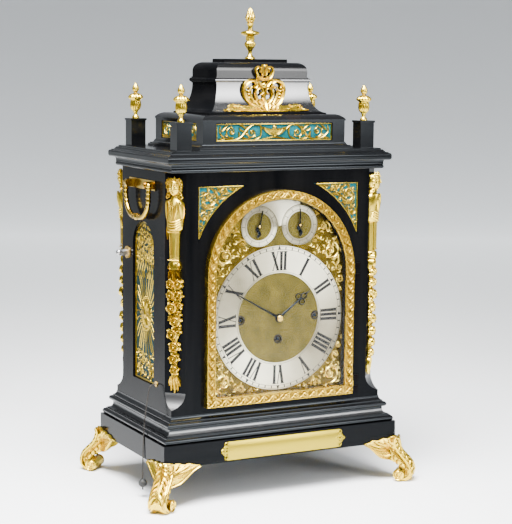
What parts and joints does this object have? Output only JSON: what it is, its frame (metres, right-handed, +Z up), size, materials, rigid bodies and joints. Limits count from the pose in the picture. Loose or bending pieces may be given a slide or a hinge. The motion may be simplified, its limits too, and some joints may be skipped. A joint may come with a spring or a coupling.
{
  "type": "bracket clock",
  "caption": "Ebonised bracket clock with bell top, gilt mounts, arched dial door, side handles and a striking spring movement.",
  "frame": {"origin": "On the floor under the middle of the case.", "axes": "+X to the viewer's right, +Y to the back, +Z up; the dial faces -Y."},
  "size_m": [0.4378, 0.2958, 0.701],
  "materials": {
    "ebonised_wood": "black polish, glossy",
    "plain_wood": "waxed",
    "gilt_brass": "gilded, burnished and matted",
    "silvered_brass": "silvered, satin",
    "blued_steel": "blued, polished",
    "movement_brass": "lacquered",
    "steel": "polished",
    "silk": "woven",
    "cord_cotton": "twisted",
    "glass": "clear, flat"
  },
  "bodies": {
    "case": {"bracket_feet": "gilt_brass", "baseboard": "ebonised_wood", "plinth_boards": "ebonised_wood", "base_moulding": "ebonised_wood", "corner_posts": "ebonised_wood", "side_frames": "ebonised_wood", "front_frame": "ebonised_wood", "back_frame": "ebonised_wood", "cornice_moulding": "ebonised_wood", "top_board": "ebonised_wood", "frieze_mouldings": "ebonised_wood", "frieze_boards": "ebonised_wood", "bell_lower": "ebonised_wood", "bell_upper": "ebonised_wood", "bell_top_plate": "ebonised_wood", "pedestals": "ebonised_wood", "urn_finials": "gilt_brass", "top_finial": "gilt_brass", "crest_mount": "gilt_brass", "frieze_frets": "gilt_brass", "side_frets": "gilt_brass", "spandrel_frets": "gilt_brass", "fret_silks": "silk", "corner_figures": "gilt_brass", "plinth_plaque": "gilt_brass", "handle_lugs": "gilt_brass", "case_hardware": "gilt_brass", "dial_plate": "gilt_brass", "chapter_ring": "silvered_brass", "arch_silvering": "silvered_brass", "dial_spandrels": "gilt_brass", "movement_plates": "movement_brass", "movement_pillars": "movement_brass", "seat_board": "plain_wood", "train_wheels": "movement_brass", "spring_barrels": "movement_brass", "strike_gong": "steel", "pull_cord": "cord_cotton"},
    "bezel_door": {"bezel_frame": "gilt_brass", "bezel_glass": "glass"},
    "back_door": {"back_door_frame": "ebonised_wood", "back_door_glass": "glass"},
    "left_handle": {"left_bail": "gilt_brass"},
    "right_handle": {"right_bail": "gilt_brass"},
    "minute_work": {"minute_hand": "blued_steel", "cannon_pinion": "movement_brass"},
    "hour_work": {"hour_hand": "blued_steel", "hour_wheel": "movement_brass"},
    "minute_wheel": {"minute_wheel": "movement_brass"},
    "strike_hand": {"strike_hand": "blued_steel"},
    "chime_hand": {"chime_hand": "blued_steel"},
    "strike_winder": {"strike_winder": "steel"},
    "going_winder": {"going_winder": "steel"},
    "chime_winder": {"chime_winder": "steel"},
    "escape_wheel": {"escape_wheel": "movement_brass"},
    "pendulum": {"pallets": "steel", "pendulum": "movement_brass"},
    "hammer": {"strike_hammer": "steel"},
    "side_knob": {"side_knob": "gilt_brass"},
    "pull_ball": {"pull_ball": "steel"}
  },
  "joints": [
    {"name": "bezel_swing", "type": "hinge", "parent": "case", "child": "bezel_door", "pos_m": [0.1225, -0.1027, 0.255], "axis": [0, 0, 1], "range_deg": [0, 105]},
    {"name": "back_door_swing", "type": "hinge", "parent": "case", "child": "back_door", "pos_m": [0.1317, 0.1024, 0.297], "axis": [0, 0, -1], "range_deg": [0, 105]},
    {"name": "left_handle_lift", "type": "hinge", "parent": "case", "child": "left_handle", "pos_m": [-0.18, 0, 0.447], "axis": [0, 1, 0], "range_deg": [0, 95]},
    {"name": "right_handle_lift", "type": "hinge", "parent": "case", "child": "right_handle", "pos_m": [0.18, 0, 0.447], "axis": [0, -1, 0], "range_deg": [0, 95]},
    {"name": "minute_turn", "type": "hinge", "parent": "case", "child": "minute_work", "pos_m": [0, -0.1, 0.2553], "axis": [0, 1, 0], "continuous": true},
    {"name": "hour_turn", "type": "hinge", "parent": "case", "child": "hour_work", "pos_m": [0, -0.098, 0.2553], "axis": [0, 1, 0], "continuous": true},
    {"name": "minute_wheel_turn", "type": "hinge", "parent": "case", "child": "minute_wheel", "pos_m": [0, -0.084, 0.2793], "axis": [0, 1, 0], "continuous": true},
    {"name": "strike_hand_turn", "type": "hinge", "parent": "case", "child": "strike_hand", "pos_m": [-0.033, -0.098, 0.389], "axis": [0, 1, 0], "range_deg": [-90, 75]},
    {"name": "chime_hand_turn", "type": "hinge", "parent": "case", "child": "chime_hand", "pos_m": [0.033, -0.098, 0.389], "axis": [0, 1, 0], "range_deg": [-80, 80]},
    {"name": "strike_wind", "type": "hinge", "parent": "case", "child": "strike_winder", "pos_m": [-0.061, -0.06, 0.2553], "axis": [0, 1, 0], "range_deg": [0, 3600]},
    {"name": "going_wind", "type": "hinge", "parent": "case", "child": "going_winder", "pos_m": [0, -0.06, 0.2243], "axis": [0, 1, 0], "range_deg": [0, 3600]},
    {"name": "chime_wind", "type": "hinge", "parent": "case", "child": "chime_winder", "pos_m": [0.061, -0.06, 0.2553], "axis": [0, 1, 0], "range_deg": [0, 3600]},
    {"name": "pendulum_swing", "type": "hinge", "parent": "case", "child": "pendulum", "pos_m": [0, -0.006, 0.3075], "axis": [0, 1, 0], "range_deg": [-3, 3]},
    {"name": "escape_step", "type": "hinge", "parent": "case", "child": "escape_wheel", "pos_m": [0, -0.027, 0.2863], "axis": [0, 1, 0], "range_deg": [-3, 3]},
    {"name": "hammer_lift", "type": "hinge", "parent": "case", "child": "hammer", "pos_m": [0.0527, 0.014, 0.33], "axis": [0, -1, 0], "range_deg": [0, 12]},
    {"name": "side_knob_turn", "type": "hinge", "parent": "case", "child": "side_knob", "pos_m": [-0.1705, 0.057, 0.342], "axis": [1, 0, 0], "range_deg": [0, 90]},
    {"name": "cord_pull", "type": "slide", "parent": "case", "child": "pull_ball", "axis": [0, 0, -1], "range_m": [0, 0.008], "stiffness_N_per_m": 40, "deforming": ["pull_cord"]}
  ],
  "couplings": [
    {"joint": "hour_turn", "follows": "minute_turn", "ratio": 0.083333},
    {"joint": "minute_wheel_turn", "follows": "minute_turn", "ratio": -0.33333},
    {"joint": "escape_step", "follows": "pendulum_swing", "ratio": -1}
  ]
}
